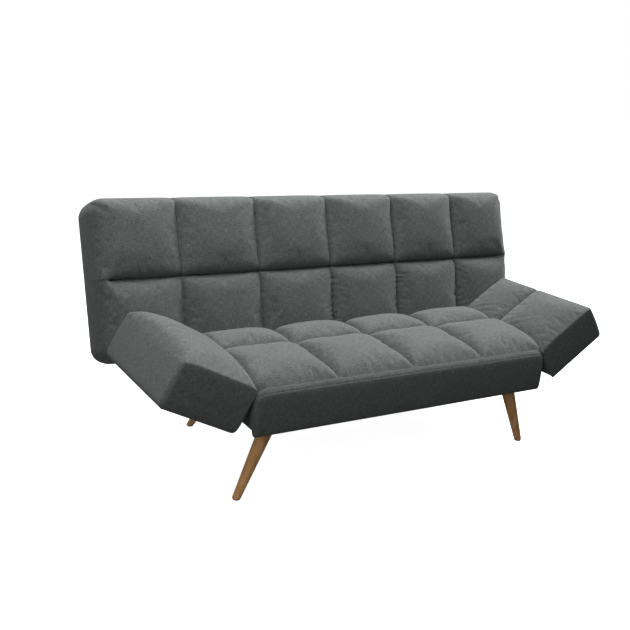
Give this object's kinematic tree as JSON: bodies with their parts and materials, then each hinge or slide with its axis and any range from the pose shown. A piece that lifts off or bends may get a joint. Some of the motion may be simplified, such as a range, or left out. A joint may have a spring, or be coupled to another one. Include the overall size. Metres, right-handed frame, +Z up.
{
  "type": "futon sofa bed",
  "caption": "Armed click-clack sofa bed with a tufted fabric back and seat, hinged armrests and splayed tapered wooden legs.",
  "frame": {"origin": "on the floor, under the middle of the bounding box", "axes": "+X to the right of someone facing the sofa, along its width; +Y to the rear; +Z up"},
  "size_m": [1.804, 0.8058, 0.8688],
  "materials": {
    "upholstery_fabric": "matte",
    "frame_pine": "matte",
    "arm_board": "matte",
    "spring_steel": "satin",
    "dust_cloth": "matte",
    "black_steel": "satin",
    "leg_walnut": "satin",
    "black_plastic": "matte",
    "zinc_steel": "satin"
  },
  "bodies": {
    "base": {"seat_pad": "upholstery_fabric", "seat_front_border": "upholstery_fabric", "seat_rear_border": "upholstery_fabric", "seat_left_border": "upholstery_fabric", "seat_right_border": "upholstery_fabric", "seat_front_rail": "frame_pine", "seat_rear_rail": "frame_pine", "seat_left_rail": "frame_pine", "seat_right_rail": "frame_pine", "seat_centre_rail": "frame_pine", "seat_spring_1": "spring_steel", "seat_spring_2": "spring_steel", "seat_spring_3": "spring_steel", "seat_spring_4": "spring_steel", "seat_dust_cover": "dust_cloth", "bearer_left": "black_steel", "bearer_right": "black_steel", "rear_cross_tube": "black_steel", "leg_plate_front_left": "black_steel", "leg_plate_front_right": "black_steel", "leg_plate_rear_left": "black_steel", "leg_plate_rear_right": "black_steel", "leg_front_left": "leg_walnut", "leg_front_right": "leg_walnut", "leg_rear_left": "leg_walnut", "leg_rear_right": "leg_walnut", "leg_glide_front_left": "black_plastic", "leg_glide_front_right": "black_plastic", "leg_glide_rear_left": "black_plastic", "leg_glide_rear_right": "black_plastic", "back_hinge_left_seat_bracket": "zinc_steel", "back_hinge_right_seat_bracket": "zinc_steel", "arm_left_hinge_front_seat_leaf": "zinc_steel", "arm_left_hinge_rear_seat_leaf": "zinc_steel", "arm_right_hinge_front_seat_leaf": "zinc_steel", "arm_right_hinge_rear_seat_leaf": "zinc_steel", "back_hinge_left_pin": "black_steel", "back_hinge_right_pin": "black_steel", "arm_left_hinge_front_pin": "black_steel", "arm_left_hinge_rear_pin": "black_steel", "arm_right_hinge_front_pin": "black_steel", "arm_right_hinge_rear_pin": "black_steel"},
    "back": {"back_pad": "upholstery_fabric", "back_rear_panel": "upholstery_fabric", "back_top_rail": "frame_pine", "back_bottom_rail": "frame_pine", "back_left_stile": "frame_pine", "back_right_stile": "frame_pine", "back_centre_stile": "frame_pine", "back_hinge_left_back_bracket": "zinc_steel", "back_hinge_right_back_bracket": "zinc_steel"},
    "arm_left": {"arm_left_pad": "upholstery_fabric", "arm_left_board": "arm_board", "arm_left_hinge_front_arm_leaf": "zinc_steel", "arm_left_hinge_rear_arm_leaf": "zinc_steel"},
    "arm_right": {"arm_right_pad": "upholstery_fabric", "arm_right_board": "arm_board", "arm_right_hinge_front_arm_leaf": "zinc_steel", "arm_right_hinge_rear_arm_leaf": "zinc_steel"}
  },
  "joints": [
    {"name": "back_recline", "type": "hinge", "parent": "base", "child": "back", "pos_m": [0, 0.138, 0.37], "axis": [-1, 0, 0], "range_deg": [-8, 71.8]},
    {"name": "arm_left_raise", "type": "hinge", "parent": "base", "child": "arm_left", "pos_m": [-0.6, -0.167, 0.367], "axis": [0, 1, 0], "range_deg": [-26.4, 39.6]},
    {"name": "arm_right_raise", "type": "hinge", "parent": "base", "child": "arm_right", "pos_m": [0.6, -0.167, 0.367], "axis": [0, -1, 0], "range_deg": [-33, 33]}
  ]
}
